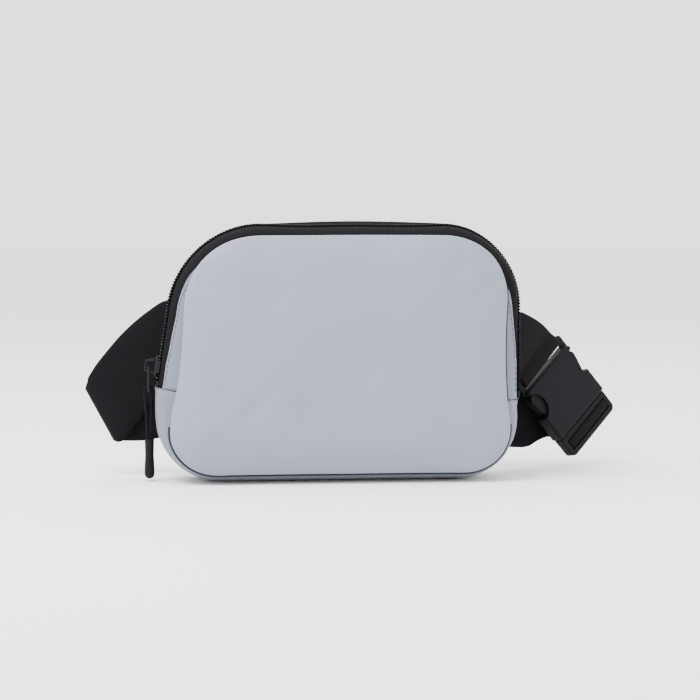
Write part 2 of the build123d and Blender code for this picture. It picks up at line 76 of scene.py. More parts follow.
def add_light(name, location, target, size, power):
    data = bpy.data.lights.new(name, "AREA")
    data.shape = "RECTANGLE"
    data.size, data.size_y = size
    data.energy = power
    light = add_object(name, data)
    light.location = location
    direction = Vector(target) - Vector(location)
    light.rotation_euler = direction.to_track_quat("-Z", "Y").to_euler()


def add_studio():
    world = bpy.data.worlds.new("studio")
    world.use_nodes = True
    background = world.node_tree.nodes["Background"]
    background.inputs["Color"].default_value = (1.0, 1.0, 1.0, 1)
    background.inputs["Strength"].default_value = 2.3
    bpy.context.scene.world = world
    add_light("key", (-0.35, -0.32, 0.75), (0, 0, 0.08), (0.5, 0.5), 12)
    add_light("fill", (0.9, -0.9, 0.5), (0, 0, 0.06), (0.8, 0.8), 2)
    add_light("back", (0.1, 0.9, 0.9), (0, 0, 0.06), (1.0, 0.6), 5)
    mesh = bpy.data.meshes.new("floor")
    mesh.from_pydata([(-6, -6, 0), (6, -6, 0), (6, 6, 0), (-6, 6, 0)], [], [(0, 1, 2, 3)])
    floor_piece = add_object("floor", mesh)
    floor_piece.location.z = -0.0004
    pale = bpy.data.materials.new("floor")
    pale.use_nodes = True
    shader = pale.node_tree.nodes["Principled BSDF"]
    shader.inputs["Base Color"].default_value = (0.95, 0.95, 0.95, 1)
    shader.inputs["Roughness"].default_value = 0.9
    mesh.materials.append(pale)


add_camera()
add_studio()


# ---- Materials ----
class Value:
    """A number in a material's node tree; arithmetic on it adds Math nodes."""

    def __init__(self, tree, socket):
        self.tree, self.socket = tree, socket

    def op(self, kind, *others):
        node = self.tree.nodes.new("ShaderNodeMath")
        node.operation = kind
        self.tree.links.new(self.socket, node.inputs[0])
        for i, other in enumerate(others, 1):
            if isinstance(other, Value):
                self.tree.links.new(other.socket, node.inputs[i])
            else:
                node.inputs[i].default_value = other
        return Value(self.tree, node.outputs[0])

    def __add__(self, other):
        return self.op("ADD", other)

    def __sub__(self, other):
        return self.op("SUBTRACT", other)

    def __mul__(self, other):
        return self.op("MULTIPLY", other)

    def sin(self):
        return self.op("SINE")

    def abs(self):
        return self.op("ABSOLUTE")

    def floor(self):
        return self.op("FLOOR")

    def clamp(self):
        return self.op("MAXIMUM", 0.0).op("MINIMUM", 1.0)


def uv_mm(tree):
    """The piece's flat coordinates in millimetres: across and along the cloth."""
    node = tree.nodes.new("ShaderNodeUVMap")
    split = tree.nodes.new("ShaderNodeSeparateXYZ")
    tree.links.new(node.outputs[0], split.inputs[0])
    return Value(tree, split.outputs[0]), Value(tree, split.outputs[1])


def cloudy(tree, scale, detail=3.0):
    """Soft noise from 0 to 1, fixed to the object. Scale is in features per metre."""
    place = tree.nodes.new("ShaderNodeTexCoord")
    node = tree.nodes.new("ShaderNodeTexNoise")
    node.inputs["Scale"].default_value = scale
    node.inputs["Detail"].default_value = detail
    tree.links.new(place.outputs["Object"], node.inputs["Vector"])
    return Value(tree, node.outputs["Fac"])


def plain_weave(pitch):
    def pattern(tree):
        u, v = uv_mm(tree)
        k = pi / pitch
        over = (u * k).sin() * (v * k).sin()
        return over.abs() + ((u + v) * (k * 0.5)).sin() * 0.15

    return pattern


def ribbed(pitch, column):
    """Webbing: short ribs across the strap, stepped from one column to the next."""

    def pattern(tree):
        u, v = uv_mm(tree)
        step = (u * (1 / column)).floor() * (pitch * 0.5)
        rib = ((v + step) * (pi / pitch)).sin().abs()
        groove = (u * (pi / column)).sin().abs()
        return rib * 0.7 + groove * 0.5

    return pattern


def tape_lines(pitch):
    def pattern(tree):
        u, v = uv_mm(tree)
        return (u * (pi / 0.9)).sin().abs() * 0.7 + (v * (pi / pitch)).sin().abs() * 0.4

    return pattern


def grain(scale):
    return lambda tree: cloudy(tree, scale, 2.0)


def make_material(
    name, dark, light, roughness, pattern, depth_mm, cloud=18.0, shade_share=0.25,
    sheen=0.0, specular=0.5, edge_mm=0.0, wear=0.0,
):
    """A procedural surface. Its colour runs from dark to light with soft clouds and pattern."""
    mat = bpy.data.materials.new(name)
    mat.use_nodes = True
    tree = mat.node_tree
    shader = tree.nodes["Principled BSDF"]
    height = pattern(tree)
    clouds = cloudy(tree, cloud)
    shade = (clouds * (1 - shade_share) + height * shade_share).clamp()
    if wear:
        geometry = tree.nodes.new("ShaderNodeNewGeometry")
        edge = Value(tree, geometry.outputs["Pointiness"])
        rubbed = ((edge - 0.53) * 9.0).clamp() * cloudy(tree, 400.0) * wear
        shade = (shade + rubbed).clamp()
    mix = tree.nodes.new("ShaderNodeMix")
    mix.data_type = "RGBA"
    mix.inputs["A"].default_value = (*dark, 1)
    mix.inputs["B"].default_value = (*light, 1)
    tree.links.new(shade.socket, mix.inputs["Factor"])
    tree.links.new(mix.outputs["Result"], shader.inputs["Base Color"])
    rough = (clouds - 0.5) * 0.16 + roughness
    tree.links.new(rough.socket, shader.inputs["Roughness"])
    shader.inputs["Specular IOR Level"].default_value = specular
    shader.inputs["Sheen Weight"].default_value = sheen
    shader.inputs["Sheen Roughness"].default_value = 0.4
    bump = tree.nodes.new("ShaderNodeBump")
    bump.inputs["Strength"].default_value = 0.7
    bump.inputs["Distance"].default_value = depth_mm * MM
    tree.links.new(height.socket, bump.inputs["Height"])
    if edge_mm:
        bevel = tree.nodes.new("ShaderNodeBevel")
        bevel.inputs["Radius"].default_value = edge_mm * MM
        tree.links.new(bevel.outputs[0], bump.inputs["Normal"])
    tree.links.new(bump.outputs[0], shader.inputs["Normal"])
    return mat


def nylon(name, dark, light):
    return make_material(
        name, dark, light, 0.55, plain_weave(0.42), 0.035,
        cloud=22.0, shade_share=0.18, sheen=0.15, specular=0.3,
    )


NYLON = nylon("grey_nylon", (0.174, 0.192, 0.246), (0.220, 0.239, 0.298))
# The same grey nylon made darker: painted shade, used on the bottom gusset and the facings.
NYLON_PAINTED_SHADE = nylon("grey_nylon_painted_shade", (0.112, 0.127, 0.168), (0.142, 0.158, 0.203))
LINING = make_material(
    "lining", (0.07, 0.075, 0.09), (0.12, 0.125, 0.145), 0.6, plain_weave(0.35),
    0.03, sheen=0.2, specular=0.3,
)
FOAM = make_material(
    "foam", (0.40, 0.40, 0.42), (0.54, 0.54, 0.56), 0.9, grain(2600.0), 0.25, specular=0.1,
)
BINDING = make_material(
    "binding", (0.012, 0.012, 0.014), (0.035, 0.035, 0.04), 0.75, tape_lines(0.7), 0.08,
    shade_share=0.6, sheen=0.15, specular=0.25,
)
TAPE = make_material(
    "zip_tape", (0.0024, 0.0022, 0.0028), (0.0085, 0.0078, 0.0094), 0.95, tape_lines(0.8), 0.10,
    shade_share=0.6, sheen=0.01, specular=0.02,
)
COIL = make_material(
    "zip_coil", (0.002, 0.002, 0.0024), (0.006, 0.006, 0.0068), 0.65, grain(900.0), 0.02,
    specular=0.07,
)
WEBBING = make_material(
    "webbing", (0.0020, 0.0018, 0.0024), (0.0078, 0.0072, 0.0088), 0.78, ribbed(0.9, 1.45), 0.14,
    cloud=30.0, shade_share=0.5, sheen=0.02, specular=0.06,
)
ELASTIC = make_material(
    "elastic", (0.003, 0.003, 0.0038), (0.010, 0.010, 0.0115), 0.85, ribbed(0.6, 0.9), 0.16,
    shade_share=0.6, sheen=0.03, specular=0.06,
)
CORD = make_material(
    "cord", (0.002, 0.002, 0.0027), (0.007, 0.007, 0.0082), 0.8, grain(3200.0), 0.10,
    shade_share=0.6, sheen=0.02, specular=0.06,
)
THREAD_GREY = make_material(
    "thread_grey", (0.16, 0.175, 0.22), (0.27, 0.29, 0.35), 0.6, grain(5000.0), 0.03, specular=0.3,
)
# Grey thread made darker: painted shade, for the facing stitches and the dark seam tubes.
THREAD_PAINTED_SHADE = make_material(
    "thread_painted_shade", (0.012, 0.014, 0.020), (0.034, 0.038, 0.050), 0.7, grain(4000.0), 0.05,
    specular=0.2,
)
THREAD_BLACK = make_material(
    "thread_black", (0.006, 0.006, 0.007), (0.022, 0.022, 0.025), 0.6, grain(5000.0), 0.03,
    specular=0.15,
)
METAL = make_material(
    "zip_metal", (0.003, 0.003, 0.0035), (0.010, 0.010, 0.012), 0.42, grain(1500.0), 0.01,
    specular=0.15, edge_mm=0.25, wear=0.5,
)
PLASTIC = make_material(
    "buckle_plastic", (0.0028, 0.0028, 0.004), (0.0065, 0.0065, 0.0083), 0.58, grain(4200.0), 0.03,
    cloud=60.0, specular=0.10, edge_mm=0.5, wear=0.2,
)
RUBBER = make_material(
    "tip_plastic", (0.0025, 0.0025, 0.0033), (0.007, 0.007, 0.0085), 0.5, grain(3500.0), 0.03,
    edge_mm=0.5, specular=0.10,
)


# ---- Mesh helpers ----
def new_piece(name, verts, faces, uvs, mat):
    """Makes an object from millimetre vertices, with one flat coordinate per vertex."""
    mesh = bpy.data.meshes.new(name)
    mesh.from_pydata([Vector(v) * MM for v in verts], [], faces)
    layer = mesh.uv_layers.new(name="UVMap")
    for loop in mesh.loops:
        layer.data[loop.index].uv = uvs[loop.vertex_index]
    work = bmesh.new()
    work.from_mesh(mesh)
    bmesh.ops.recalc_face_normals(work, faces=work.faces)
    work.to_mesh(mesh)
    work.free()
    for face in mesh.polygons:
        face.use_smooth = True
    mesh.materials.append(mat)
    piece = add_object(name, mesh)
    return piece


def ring_faces(rings, n, closed=False, first=0):
    """Quads between rings of n points each, stored from vertex first on."""
    faces = []
    for i in range(rings if closed else rings - 1):
        a, b = first + i * n, first + (i + 1) % rings * n
        faces += [(a + j, a + (j + 1) % n, b + (j + 1) % n, b + j) for j in range(n)]
    return faces


def rounded(points, radii):
    """A polyline through points with each inner corner turned into an arc of its radius."""
    line = [Vector(points[0])]
    for a, b, c, r in zip(points, points[1:], points[2:], radii):
        b = Vector(b)
        u, w = (b - Vector(a)).normalized(), (Vector(c) - b).normalized()
        cross = u.x * w.y - u.y * w.x
        turn = atan2(cross, u.dot(w))
        start = b - u * (r * tan(abs(turn) / 2))
        side = 1 if turn > 0 else -1
        centre = start + Vector((-u.y, u.x)) * (r * side)
        count = max(2, ceil(abs(turn) * r / 1.0), ceil(abs(turn) / 0.2))
        for i in range(count + 1):
            a0 = atan2(start.y - centre.y, start.x - centre.x) + turn * i / count
            line.append(centre + Vector((cos(a0), sin(a0))) * r)
    line.append(Vector(points[-1]))
    return line


class Path:
    """A line in the XZ plane that can be read at any distance along it."""

    def __init__(self, points, closed=False):
        if closed:
            points = points + [points[0]]
        self.points, self.at_s, self.closed = [points[0]], [0.0], closed
        for p in points[1:]:
            gap = (p - self.points[-1]).length
            if gap > 1e-5:
                self.points.append(p)
                self.at_s.append(self.at_s[-1] + gap)
        self.length = self.at_s[-1]
        self.i = 0

    def point(self, s):
        s = s % self.length if self.closed else min(max(s, 0.0), self.length)
        i = self.i if self.at_s[self.i] <= s else 0
        while i < len(self.at_s) - 2 and self.at_s[i + 1] < s:
            i += 1
        self.i = i
        share = (s - self.at_s[i]) / (self.at_s[i + 1] - self.at_s[i])
        return self.points[i].lerp(self.points[i + 1], share)

    def normal(self, s):
        """Unit vector towards the pouch's middle, on a line that runs clockwise."""
        d = 0.6
        if self.closed:
            run = self.point(s + d) - self.point(s - d)
        else:
            run = self.point(min(s + d, self.length)) - self.point(max(s - d, 0))
        run.normalize()
        return Vector((run.y, -run.x))

    def place(self, s, inset, y):
        """The 3-D point at distance s, moved in by inset, at depth y."""
        p = self.point(s) + self.normal(s) * inset
        return Vector((p.x, y, p.y))

    def spots(self, step, s0=0.0, s1=None):
        s1 = self.length if s1 is None else s1
        count = max(1, round((s1 - s0) / step))
        last = count if self.closed and s1 == self.length else count + 1
        return [s0 + (s1 - s0) * i / count for i in range(last)]


# Depths: the seams, where the gusset's flat middle ends, and the zip. MIDDLE is the pouch's (x, z).
SEAM_FRONT, SEAM_REAR = -21.0, 21.0
FLAT_FRONT, FLAT_REAR = -3.0, 9.0
REAR_DROP = 2.3
REAR_R = ((SEAM_REAR - FLAT_REAR) ** 2 + REAR_DROP**2) / (2 * REAR_DROP)
ZIP_Y = -1.0
MIDDLE = Vector((3.0, 66.0))
TO_WEARER = Vector((0, 1, 0))

LEFT_END, RIGHT_END = (-94.4, 49.0), (95.4, 42.0)
UPPER_CORNERS = [LEFT_END, (-81.6, 131.5), (8.0, 134.0), (95.4, 132.0), RIGHT_END]
LOWER_CORNERS = [RIGHT_END, (95.4, 34.0), (91.5, 0.0), (-91.5, 0.0), (-95.7, 40.6), LEFT_END]
upper_line = rounded(UPPER_CORNERS, [50.0, 600.0, 43.0])
lower_line = rounded(LOWER_CORNERS, [60.0, 32.0, 32.0, 50.0])
UPPER = Path(upper_line)
LOWER = Path(lower_line)
OUTLINE = Path(upper_line[:-1] + lower_line[:-1], closed=True)


# How far the front seam lies in from the outline, by direction from the pouch's middle.
SEAM_INSETS = [
    (0, 9.6), (14, 9.0), (24, 7.0), (33, 5.2), (42, 4.8), (83, 5.6), (122, 4.6), (136, 3.4),
    (146, 3.6), (154, 4.9), (162, 6.4), (174, 8.4), (190, 9.4), (198, 7.4), (206, 4.9),
    (216, 3.8), (230, 4.3), (270, 4.4), (310, 4.4), (325, 4.0), (335, 5.6), (346, 8.6),
]


def hermite_weights(t):
    """Weights of start point, start slope, end point and end slope at share t."""
    return 2 * t**3 - 3 * t**2 + 1, t**3 - 2 * t**2 + t, 3 * t**2 - 2 * t**3, t**3 - t**2


def seam_inset(p):
    """Inset of the front seam beside the outline's point p (x, z), smooth all round."""
    angle = degrees(atan2(p.y - MIDDLE.y, p.x)) % 360
    n = len(SEAM_INSETS)
    i = max(k for k in range(n) if SEAM_INSETS[k][0] <= angle)
    around = []
    for k in range(i - 1, i + 3):
        at, inset = SEAM_INSETS[k % n]
        around.append((at + 360 * (k // n), inset))
    (x0, y0), (x1, y1), (x2, y2), (x3, y3) = around
    t = (angle - x1) / (x2 - x1)
    m1, m2 = (y2 - y0) / (x2 - x0) * (x2 - x1), (y3 - y1) / (x3 - x1) * (x2 - x1)
    w0, w1, w2, w3 = hermite_weights(t)
    return y1 * w0 + m1 * w1 + y2 * w2 + m2 * w3


def crown(y, drop):
    """How far the gusset curves in at y: by drop at the front seam, REAR_DROP at the rear."""
    if y < FLAT_FRONT:
        radius = ((FLAT_FRONT - SEAM_FRONT) ** 2 + drop**2) / (2 * drop)
        y = max(y, SEAM_FRONT - 0.5)
        return radius - sqrt(radius**2 - (FLAT_FRONT - y) ** 2)
    if y > FLAT_REAR:
        return REAR_R - sqrt(REAR_R**2 - (y - FLAT_REAR) ** 2)
    return 0.0


def sag_of_zip(p, y):
    """The zip line dips a little in the middle of the top, and the rear stays up."""
    along_top = smooth_step(-52, -10, p.x) * smooth_step(72, 30, p.x) * smooth_step(110, 128, p.y)
    return 1.7 * along_top * smooth_step(10, -1, y) - 0.5 * along_top * smooth_step(3, 12, y)


def skin(path, s, y):
    """Inset of the gusset's outer face at distance s and depth y."""
    p = path.point(s)
    return crown(y, seam_inset(p)) + sag_of_zip(p, y)


def steps(a, b, size):
    count = max(1, ceil(abs(b - a) / size))
    return [a + (b - a) * i / count for i in range(count + 1)]


def smooth_step(a, b, x):
    t = min(max((x - a) / (b - a), 0.0), 1.0)
    return t * t * (3 - 2 * t)


def wrinkle(p, size, seed=0.0):
    """Soft noise from about -1 to 1 with features of that size in millimetres."""
    return noise.noise(p / size + Vector((seed, seed * 0.37, -seed)))


def band(name, path, span, count, thickness, mat, raise_by, step=2.2, s0=0.0, s1=None):
    """Cloth that follows the outline: raise_by(s, y) is its outer face's height over it.

    span(s) gives the two edges' depths. The cloth's thickness lies under the outer face.
    """
    spots = path.spots(step, s0, s1)
    verts, uvs = [], []
    nose = thickness * 0.30
    shares = [k / count for k in range(count + 1)]
    loop = (
        [(0.0, -nose, thickness / 2)]
        + [(share, 0.0, 0.0) for share in shares]
        + [(1.0, nose, thickness / 2)]
        + [(share, 0.0, thickness) for share in reversed(shares)]
    )
    for s in spots:
        y0, y1 = span(s)
        for share, past, under in loop:
            y = y0 + (y1 - y0) * share
            inset = skin(path, s, y) + under - raise_by(s, y)
            verts.append(path.place(s, inset, y + past))
            uvs.append((y, s))
    n, half = len(loop), count + 1
    faces = ring_faces(len(spots), n)
    for base in (0, (len(spots) - 1) * n):
        faces.append((base, base + 1, base + n - 1))
        faces.append((base + half, base + half + 1, base + half + 2))
        for j in range(1, half):
            faces.append((base + j, base + j + 1, base + n - j - 1, base + n - j))
    return new_piece(name, verts, faces, uvs, mat)


# Rings of one stitch: share of its length, then size and lift in radii of the thread.
STITCH_RINGS = [
    (0, 0.35, -0.5), (0.18, 0.9, 0.25), (0.5, 1, 0.45), (0.82, 0.9, 0.25), (1, 0.35, -0.5),
]


def stitch_mesh(name, places, mat, radius=0.2):
    """One small rounded thread per place, each given by its two ends and outward direction."""
    verts, uvs, faces = [], [], []
    for a, b, out in places:
        run = (b - a).normalized()
        side = run.cross(out).normalized()
        first = len(verts)
        for share, size, lift in STITCH_RINGS:
            centre = a.lerp(b, share) + out * (lift * radius)
            for k in range(6):
                turn = 2 * pi * k / 6
                verts.append(centre + (side * cos(turn) + out * sin(turn)) * radius * size)
                uvs.append((k, share * 3))
        faces += ring_faces(len(STITCH_RINGS), 6, first=first)
        faces += [tuple(range(start, start + 6)) for start in (first, len(verts) - 6)]
    return new_piece(name, verts, faces, uvs, mat)


def seam_stitches(name, y_at, raise_by, mat, pitch=3.0, length=2.3, s0=2.0, s1=None):
    """A row of stitches along the upper path, at depth y_at(s) on cloth raised by raise_by."""
    path = UPPER
    s1 = path.length - 2.0 if s1 is None else s1
    places = []
    for s in steps(s0, s1, pitch)[:-1]:
        ends = []
        for at in (s, s + length):
            y = y_at(at)
            ends.append(path.place(at, skin(path, at, y) - raise_by(at, y), y))
        n = path.normal(s)
        places.append((ends[0], ends[1], Vector((-n.x, 0, -n.y))))
    return stitch_mesh(name, places, mat)


def hermite(rows, size):
    """Fills in rows of two edge points each, smoothly, about size apart."""
    middles = [(a + b) / 2 for a, b in rows]
    gaps = [max((q - p).length, 1e-4) for p, q in zip(middles, middles[1:])]
    out = []
    for i, h in enumerate(gaps):
        count = max(1, ceil(h / size))
        for k in range(count):
            w0, w1, w2, w3 = hermite_weights(k / count)
            row = []
            for e in (0, 1):
                p0, p1 = rows[i][e], rows[i + 1][e]
                m0 = m1 = chord = (p1 - p0) / h
                if i:
                    g = gaps[i - 1]
                    m0 = ((p0 - rows[i - 1][e]) / g * h + chord * g) / (h + g)
                if i + 2 < len(rows):
                    g = gaps[i + 1]
                    m1 = ((rows[i + 2][e] - p1) / g * h + chord * g) / (h + g)
                row.append(p0 * w0 + m0 * (h * w1) + p1 * w2 + m1 * (h * w3))
            out.append(tuple(row))
    out.append(rows[-1])
    return out


def ribbon(name, rows, thickness, mat, closed=False, across=9, bow=None):
    """Webbing through rows of (top edge, bottom edge) points, with rounded selvedges."""
    m = len(rows)
    middles = [(a + b) / 2 for a, b in rows]
    verts, uvs = [], []
    along = 0.0
    last_up = None
    shares = [0.0, 0.02] + [0.02 + 0.96 * k / (across - 1) for k in range(1, across)] + [1.0]
    half_at = [0.18, 0.5] + [0.5] * (across - 1) + [0.18]
    n = 2 * len(shares)
    for i, (a, b) in enumerate(rows):
        before = middles[(i - 1) % m] if closed or i else middles[i]
        after = middles[(i + 1) % m] if closed or i < m - 1 else middles[i]
        up = (after - before).cross(b - a).normalized()
        if last_up is not None and up.dot(last_up) < -0.2 and not closed:
            up = last_up
        last_up = up
        if i:
            along += (middles[i] - middles[i - 1]).length
        width = (b - a).length
        for sign in (1, -1):
            for share, half in list(zip(shares, half_at))[::sign]:
                p = a.lerp(b, share) + up * (sign * half * thickness)
                if bow:
                    p += up * bow(along, share)
                verts.append(p)
                uvs.append((share * width, along))
    faces = ring_faces(m, n, closed)
    if not closed:
        for base in (0, (m - 1) * n):
            for j in range(n // 2 - 1):
                faces.append((base + j, base + j + 1, base + n - 2 - j, base + n - 1 - j))
    return new_piece(name, verts, faces, uvs, mat)


def open_with_zip(piece):
    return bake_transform(piece)


# ---- Cord of the zip pull ----
# In metres: the tab's eye, the top of the moulded end, and half the loop's width.
EYE_X, EYE_Z, TIP_TOP, HALF = -0.0986374, 0.0477663, 0.0217, 0.00168
TIP_X = EYE_X + 0.0005
pull_route = [
    (TIP_X - 0.00095, TIP_TOP),
    (TIP_X - 0.00120, TIP_TOP + 0.0095),
    (EYE_X - 0.00135, TIP_TOP + 0.0180),
    (EYE_X - HALF, EYE_Z - 0.0026),
    (EYE_X - HALF, EYE_Z + 0.00105),
    (EYE_X + HALF, EYE_Z + 0.00105),
    (EYE_X + HALF, EYE_Z - 0.0026),
    (EYE_X + 0.00162, TIP_TOP + 0.0180),
    (TIP_X + 0.00100, TIP_TOP + 0.0095),
    (TIP_X + 0.00095, TIP_TOP),
]
cord_data = bpy.data.curves.new("zip_pull_cord", "CURVE")
cord_data.dimensions = "3D"
cord_spline = cord_data.splines.new("NURBS")
cord_spline.points.add(len(pull_route) - 1)
for spot, (x, z) in zip(cord_spline.points, pull_route):
    spot.co = (x, ZIP_Y * MM, z, 1.0)
cord_spline.order_u = 3
cord_spline.use_endpoint_u = True
cord_data.resolution_u = 12
cord_data.bevel_depth = 0.00075
cord_data.bevel_resolution = 4
cord_data.use_fill_caps = True
cord_data.materials.append(CORD)
zip_pull_cord = add_object("zip_pull_cord", cord_data)
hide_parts("pull_cord")
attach(zip_pull_cord, "pull_end")


# ---- Padded front and back shells ----
def shell(name, extra, y_face, mat, step=3.0, dent=None, edge=24.0, rings=22):
    """A pillow front from the front seam, moved in by extra, to y_face in the middle."""
    spots = OUTLINE.spots(step)
    height = SEAM_FRONT - y_face
    # (inset past the seam, y, share of the way out from the middle)
    profile = [(2.4, 1.0, None), (1.5, 0.35, None), (0.5, -0.35, None)]
    for k in range(1, 15):
        t = (k / 14) ** 1.6
        y = -0.7 - (height - 0.7 - 1.2) * (1 - (1 - t) ** 2.7) ** (1 / 2.7)
        profile.append((edge * t - 0.25 * sin(pi * min(t * 5, 1)), y, None))
    last = profile[-1][1]
    for k in range(1, rings + 1):
        share = 1 - k / rings
        profile.append((edge, last - 1.2 * (1 - share**2), share))
    verts, uvs = [], []
    m = len(spots)
    for inset, y, share in profile[:-1]:
        for s in spots:
            p = OUTLINE.place(s, seam_inset(OUTLINE.point(s)) + extra + inset, SEAM_FRONT + y)
            if share is not None:
                flat = MIDDLE.lerp(Vector((p.x, p.z)), share)
                p = Vector((flat.x, p.y, flat.y))
            if dent:
                p.y += dent(p) * smooth_step(0, 6, inset)
            verts.append(p)
            uvs.append((p.x, p.z))
    n = len(profile) - 1
    faces = ring_faces(n, m)
    tip = Vector((MIDDLE.x, SEAM_FRONT + profile[-1][1], MIDDLE.y))
    if dent:
        tip.y += dent(tip)
    verts.append(tip)
    uvs.append((tip.x, tip.z))
    first = (n - 1) * m
    for i in range(m):
        faces.append((first + i, first + (i + 1) % m, len(verts) - 1))
    return new_piece(name, verts, faces, uvs, mat), m


def inflate(piece, pinned, pressure, cap_mm, grow, stiffness=18.0):
    """Runs the cloth simulation on a shell held by its first vertices, then applies it."""
    group = piece.vertex_groups.new(name="held")
    group.add(list(range(pinned)), 1.0, "REPLACE")
    cloth = piece.modifiers.new("cloth", "CLOTH")
    settings = cloth.settings
    settings.quality = 6
    settings.mass = 0.15
    settings.tension_stiffness = stiffness
    settings.compression_stiffness = stiffness
    settings.shear_stiffness = stiffness * 0.4
    settings.bending_stiffness = 0.6
    settings.shrink_min = -grow
    settings.vertex_group_mass = "held"
    settings.use_pressure = True
    settings.uniform_pressure_force = pressure
    settings.effector_weights.gravity = 0.0
    cloth.collision_settings.use_collision = False
    cloth.collision_settings.use_self_collision = False
    cloth.point_cache.frame_start = 1
    cloth.point_cache.frame_end = last_frame = 20
    scene = bpy.context.scene
    for f in range(1, last_frame + 1):
        scene.frame_set(f)
    moved = piece.evaluated_get(bpy.context.evaluated_depsgraph_get())
    after = [v.co.copy() for v in moved.to_mesh().vertices]
    moved.to_mesh_clear()
    piece.modifiers.remove(cloth)
    for v, target in zip(piece.data.vertices, after):
        step = target - v.co
        if step.length > cap_mm * MM:
            step *= cap_mm * MM / step.length
        v.co += step
    scene.frame_set(1)
    piece.vertex_groups.clear()
    # The grid's own creases are smoothed away, and the rim stays.
    bm = bmesh.new()
    bm.from_mesh(piece.data)
    bm.verts.ensure_lookup_table()
    free = [v for v in bm.verts if v.index >= pinned * 2]
    for _ in range(5):
        bmesh.ops.smooth_vert(
            bm, verts=free, factor=0.5, use_axis_x=True, use_axis_y=True, use_axis_z=True
        )
    bm.to_mesh(piece.data)
    bm.free()


def thicken(piece, thickness_mm, subdivide=0, offset=-1.0):
    if subdivide:
        level = piece.modifiers.new("subdivide", "SUBSURF")
        level.levels = level.render_levels = subdivide
    solid = piece.modifiers.new("solid", "SOLIDIFY")
    solid.thickness = thickness_mm * MM
    solid.offset = offset
    solid.use_even_offset = False
    evaluated = piece.evaluated_get(bpy.context.evaluated_depsgraph_get())
    mesh = bpy.data.meshes.new_from_object(evaluated)
    piece.modifiers.clear()
    piece.data = mesh


def front_folds(p):
    """Shallow vertical slack at the left and right of the front, with faint puckers."""
    fold = -0.9 * smooth_step(9, 0, abs(p.x + 76 + 0.06 * (p.z - MIDDLE.y)))
    fold += 0.8 * smooth_step(9, 0, abs(p.x + 65 + 0.10 * (p.z - MIDDLE.y)))
    fold += 0.6 * smooth_step(8, 0, abs(p.x - 80)) - 0.6 * smooth_step(8, 0, abs(p.x - 69))
    middle = smooth_step(8, 30, p.z) * smooth_step(128, 100, p.z)
    return fold * middle + wrinkle(p, 38, 3.0) * 1.1 + wrinkle(p, 15, 7.0) * 0.45


front_shell, ring_size = shell("front_panel_cloth", 0.0, -30.6, NYLON, 2.6, front_folds)
inflate(front_shell, ring_size * 4, 3.0, 1.4, 0.002)
thicken(front_shell, 0.8, subdivide=1)
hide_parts("front_panel")
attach(front_shell, "front")

foam_shell, _ = shell("front_foam", 2.6, -27.2, FOAM, 5.0, None, 20.0, 8)
thicken(foam_shell, 1.0)
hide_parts("front_padding")
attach(foam_shell, "front")

lining_shell, _ = shell(
    "front_lining_cloth", 4.4, -25.2, LINING, 4.0,
    lambda p: wrinkle(p, 18, 11.0) * 0.35, 18.0, 12,
)
thicken(lining_shell, 0.4)
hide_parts("front_lining")
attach(lining_shell, "front")


# ---- Gusset and zip bands ----
def gusset_raise(s, y):
    p = LOWER.place(s, 0, y)
    tuck = -1.7 * smooth_step(-19.2, -21.0, y) - 0.5 * smooth_step(19.2, 21.0, y)
    lift = 0.5 * smooth_step(-15, -18.6, y)
    sides = smooth_step(LOWER.length / 2 - 95, LOWER.length / 2, abs(s - LOWER.length / 2))
    soft = wrinkle(p, 16, 2.0) * (0.15 + 0.75 * sides) + wrinkle(p, 6, 5.0) * 0.12
    belly = -0.5 * sides * smooth_step(21, 0, abs(y))
    fold = 0.5 * (smooth_step(5, 0, s) + smooth_step(5, 0, LOWER.length - s))
    clear = smooth_step(FLAT_FRONT - 3, FLAT_FRONT, y) * smooth_step(FLAT_REAR + 3, FLAT_REAR, y)
    rest = 1 - (1 - sides) * clear
    return tuck + lift + min(soft + belly, 0.7) * rest + fold


# The gusset's darker nylon is painted shade.
gusset = band(
    "bottom_gusset_cloth", LOWER, lambda s: (SEAM_FRONT, SEAM_REAR), 34, 0.9, NYLON_PAINTED_SHADE,
    gusset_raise, step=2.0,
)
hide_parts("bottom_gusset")
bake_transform(gusset)

gusset_inside = band(
    "gusset_lining_cloth", LOWER, lambda s: (SEAM_FRONT + 1.6, SEAM_REAR - 4), 18, 0.4,
    LINING,
    lambda s, y: -1.9 - abs(wrinkle(LOWER.place(s, 0, y), 14, 9.0)) * 0.5, step=3.0,
)
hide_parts("gusset_lining")
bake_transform(gusset_inside)


def facing_edge(s):
    """Depth of the front facing's zip side: it tapers away as the sides rise."""
    p = UPPER.point(s)
    slope = 8.2 if p.x < 0 else 6.85
    return min(-14.0, max(-20.9, -13.0 - (p.y - 54.0) / slope))


def where_z(z, from_left):
    """Distance along the upper path of its first or last point at height z."""
    spots = UPPER.spots(0.5)
    if not from_left:
        spots.reverse()
    return next(s for s in spots if UPPER.point(s).y > z)


FACING_LEFT, FACING_RIGHT = where_z(118.0, True), where_z(107.5, False)


def along_top(s):
    """One over the middle of the top, and nothing at the sides."""
    p = UPPER.point(s)
    return smooth_step(-70, -40, p.x) * smooth_step(92, 60, p.x) * smooth_step(110, 128, p.y)


def facing_raise(s, y):
    p = UPPER.place(s, 0, y)
    seam = smooth_step(-19.4, -21.0, y) if y < 0 else 0.3 * smooth_step(19.2, 21.0, y)
    low = 0.5 * along_top(s) if y > 0 else 0.0
    return 0.25 - low - 1.5 * seam + wrinkle(p, 9, 4.0) * 0.22


